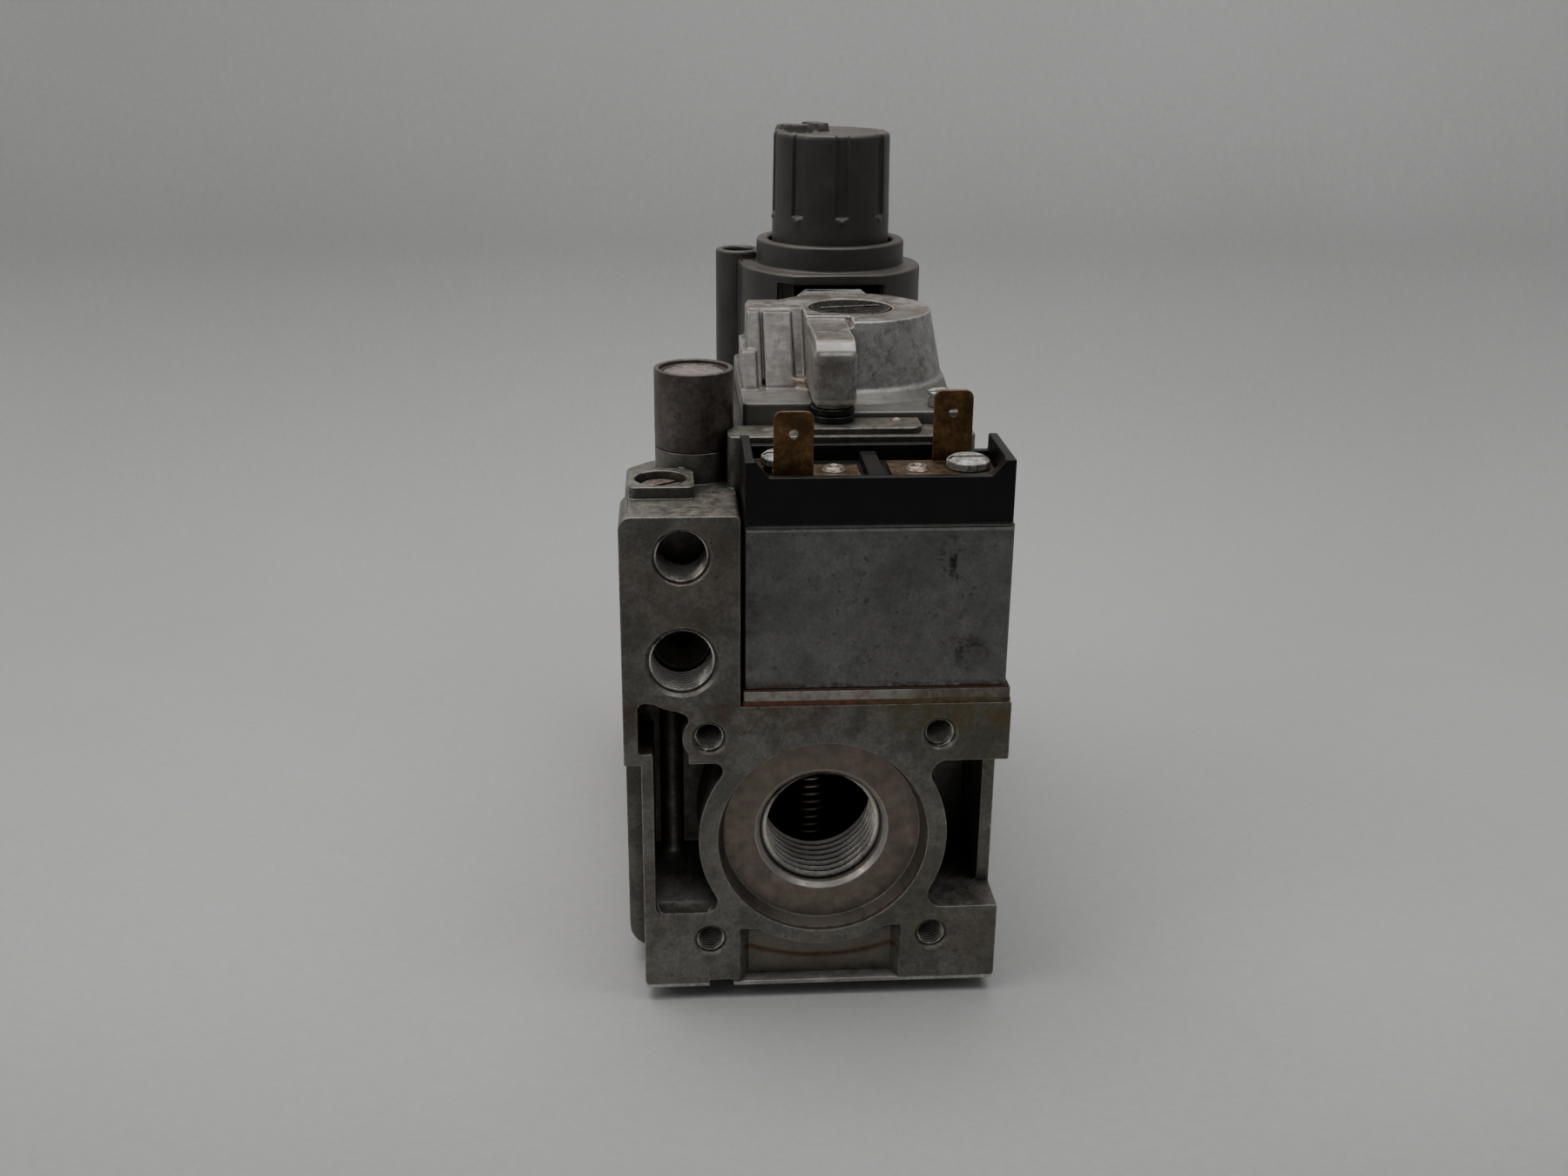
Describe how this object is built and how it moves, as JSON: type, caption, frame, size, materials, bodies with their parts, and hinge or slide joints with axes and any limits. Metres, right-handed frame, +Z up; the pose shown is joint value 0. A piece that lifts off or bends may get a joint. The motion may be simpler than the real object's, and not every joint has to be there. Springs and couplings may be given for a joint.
{
  "type": "gas valve",
  "caption": "Combination gas valve: die-cast body with flanged threaded ports, solenoid coil with spade terminals, pressure regulator and push-and-turn control knob.",
  "frame": {"origin": "centre of the outlet port on the outlet flange face", "axes": "+Y from the outlet flange to the inlet flange, +Z up along the knob axis, +X to the right as seen from the outlet"},
  "size_m": [0.0636, 0.115, 0.1396],
  "materials": {
    "cast_alloy": "matte",
    "cast_bright": "satin",
    "zinc_steel": "satin",
    "screw_zinc": "satin",
    "spring_steel": "satin",
    "brass": "satin",
    "black_plastic": "matte",
    "grey_plastic": "satin",
    "cream_plastic": "matte",
    "red_gasket": "matte",
    "black_rubber": "matte",
    "silver_plate": "gloss",
    "copper_cap": "satin",
    "filter_mesh": "satin"
  },
  "bodies": {
    "body": {"valve_body": "cast_alloy", "bottom_cover": "zinc_steel", "bottom_gasket": "red_gasket", "bottom_cover_screws": "screw_zinc", "inlet_filter": "filter_mesh", "coil_bracket": "zinc_steel", "coil_winding": "black_plastic", "core_tube": "brass", "coil_plate": "cream_plastic", "coil_gaskets": "red_gasket", "terminal_block": "black_plastic", "terminal_left": "brass", "terminal_right": "brass", "terminal_rivets": "brass", "coil_screws": "screw_zinc", "plunger_spring": "spring_steel", "regulator_housing": "cast_bright", "regulator_screws": "screw_zinc", "regulator_seal_ring": "black_rubber", "regulator_spring": "spring_steel", "regulator_diaphragm": "black_rubber", "regulator_plate": "zinc_steel", "knob_cover": "grey_plastic", "cover_screw": "screw_zinc", "latch_plate": "silver_plate", "spindle_seal": "black_rubber", "power_housing": "cast_alloy", "power_cap": "copper_cap", "power_magnet": "zinc_steel", "safety_spring": "spring_steel", "main_valve_spring": "spring_steel", "main_diaphragm": "black_rubber"},
    "cam": {"cam_sleeve": "cream_plastic", "knob_spring": "spring_steel"},
    "knob": {"control_knob": "grey_plastic", "knob_spindle": "brass", "spindle_pin": "spring_steel"},
    "safety_valve": {"safety_seal": "black_rubber", "safety_stem": "zinc_steel"},
    "armature": {"power_armature": "zinc_steel"},
    "plunger": {"solenoid_plunger": "zinc_steel", "plunger_seal": "black_rubber"},
    "main_valve": {"main_valve_seal": "black_rubber", "main_valve_stem": "zinc_steel"},
    "cap": {"regulator_cap": "cast_bright"},
    "adjuster": {"regulator_adjuster": "cream_plastic"},
    "pilot_screw": {"pilot_adjuster": "brass"}
  },
  "joints": [
    {"name": "knob_turn", "type": "hinge", "parent": "body", "child": "cam", "pos_m": [0.0076, 0.086, 0.06], "axis": [0, 0, 1], "range_deg": [0, 150]},
    {"name": "knob_push", "type": "slide", "parent": "cam", "child": "knob", "axis": [0, 0, -1], "range_m": [0, 0.0045], "stiffness_N_per_m": 900, "springref_m": -0.006, "deforming": ["knob_spring"]},
    {"name": "safety_lift", "type": "slide", "parent": "body", "child": "safety_valve", "axis": [0, 0, -1], "range_m": [0, 0.0045], "deforming": ["safety_spring"]},
    {"name": "armature_lift", "type": "slide", "parent": "body", "child": "armature", "axis": [0, 0, 1], "range_m": [0, 0.0036]},
    {"name": "plunger_lift", "type": "slide", "parent": "body", "child": "plunger", "axis": [0, 0, 1], "range_m": [0, 0.0025], "stiffness_N_per_m": 150, "springref_m": -0.004, "deforming": ["plunger_spring"]},
    {"name": "main_valve_lift", "type": "slide", "parent": "body", "child": "main_valve", "axis": [0, 0, 1], "range_m": [0, 0.0035], "stiffness_N_per_m": 250, "springref_m": -0.006, "deforming": ["main_valve_spring"]},
    {"name": "cap_turn", "type": "hinge", "parent": "body", "child": "cap", "pos_m": [0.008, 0.05, 0.079], "axis": [0, 0, 1], "continuous": true},
    {"name": "adjuster_turn", "type": "hinge", "parent": "body", "child": "adjuster", "pos_m": [0.008, 0.05, 0.072], "axis": [0, 0, 1], "continuous": true},
    {"name": "pilot_adjust", "type": "hinge", "parent": "body", "child": "pilot_screw", "pos_m": [-0.0263, 0.015, 0.056], "axis": [0, 0, 1], "continuous": true}
  ],
  "couplings": [
    {"joint": "safety_lift", "follows": "knob_push", "ratio": 1},
    {"joint": "armature_lift", "follows": "knob_push", "ratio": 0.8}
  ]
}
